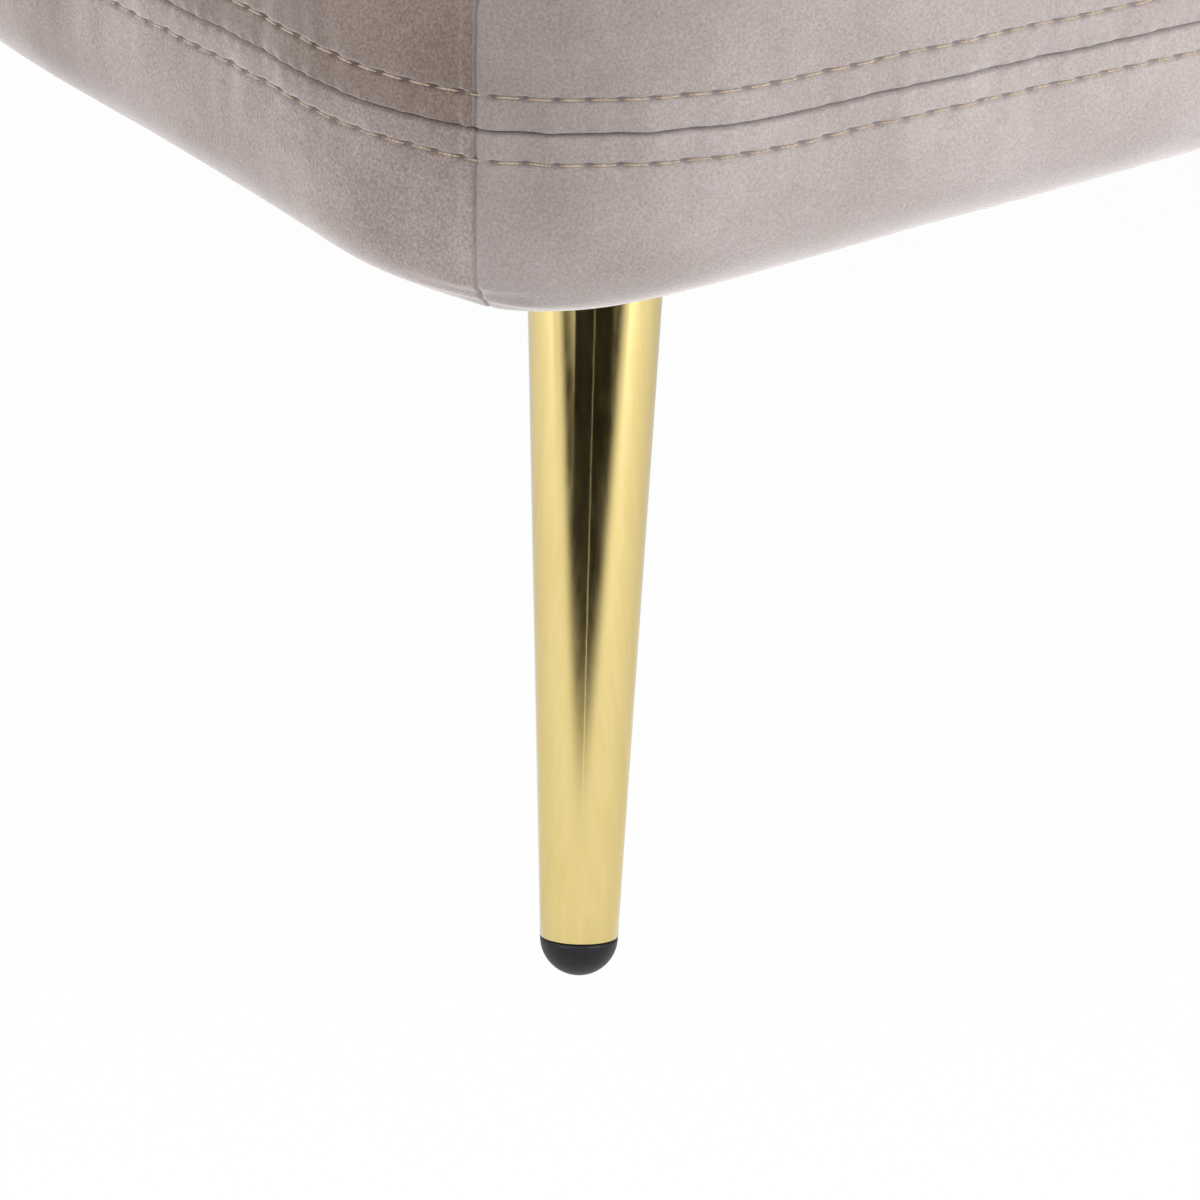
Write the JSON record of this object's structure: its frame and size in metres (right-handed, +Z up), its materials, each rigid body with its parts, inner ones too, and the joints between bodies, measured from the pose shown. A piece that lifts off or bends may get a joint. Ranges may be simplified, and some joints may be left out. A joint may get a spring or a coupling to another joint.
{
  "type": "chaise longue",
  "caption": "Velvet chaise longue with a wraparound back that sweeps down to the foot end, on splayed gold legs with black glides",
  "frame": {"origin": "floor point under the middle of the chaise's box", "axes": "+X along the length towards the head end, +Y towards the rear, +Z up"},
  "size_m": [1.58, 0.7, 0.7804],
  "materials": {
    "velvet": "matte",
    "gold_plate": "polished",
    "glide_plastic": "satin",
    "pine": "matte",
    "beech": "matte",
    "board": "matte",
    "webbing": "matte",
    "lining": "matte",
    "dust_cover": "matte",
    "foam": "matte",
    "zinc": "satin"
  },
  "bodies": {
    "root": {"back_facing_foot": "velvet", "back_facing_front": "velvet", "back_foam": "foam", "back_inner_panel": "velvet", "back_outer_panel": "velvet", "back_posts": "pine", "base_lower_foot": "velvet", "base_lower_front": "velvet", "base_lower_head": "velvet", "base_lower_rear": "velvet", "base_padding": "foam", "base_upper_foot": "velvet", "base_upper_front": "velvet", "base_upper_head": "velvet", "base_upper_rear": "velvet", "corner_block_front_foot": "pine", "corner_block_front_head": "pine", "corner_block_rear_foot": "pine", "corner_block_rear_head": "pine", "cross_rail_foot": "pine", "cross_rail_head": "pine", "cross_rail_middle": "pine", "deck_cloth": "lining", "dust_cover": "dust_cover", "foot_rail": "pine", "frame_dowels": "beech", "front_rail": "pine", "glide_front_foot": "glide_plastic", "glide_front_head": "glide_plastic", "glide_rear_foot": "glide_plastic", "glide_rear_head": "glide_plastic", "head_inner_board": "board", "head_outer_board": "board", "head_rail": "pine", "leg_front_foot": "gold_plate", "leg_front_head": "gold_plate", "leg_plate_front_foot": "gold_plate", "leg_plate_front_head": "gold_plate", "leg_plate_rear_foot": "gold_plate", "leg_plate_rear_head": "gold_plate", "leg_rear_foot": "gold_plate", "leg_rear_head": "gold_plate", "leg_screws": "zinc", "post_bolts": "zinc", "post_tee_nuts": "zinc", "post_washers": "zinc", "rear_inner_board": "board", "rear_outer_board": "board", "rear_rail": "pine", "seat_boxing": "velvet", "seat_foam": "foam", "seat_lining": "lining", "seat_top_panel": "velvet", "webbing_cross": "webbing", "webbing_long": "webbing"}
  },
  "joints": []
}
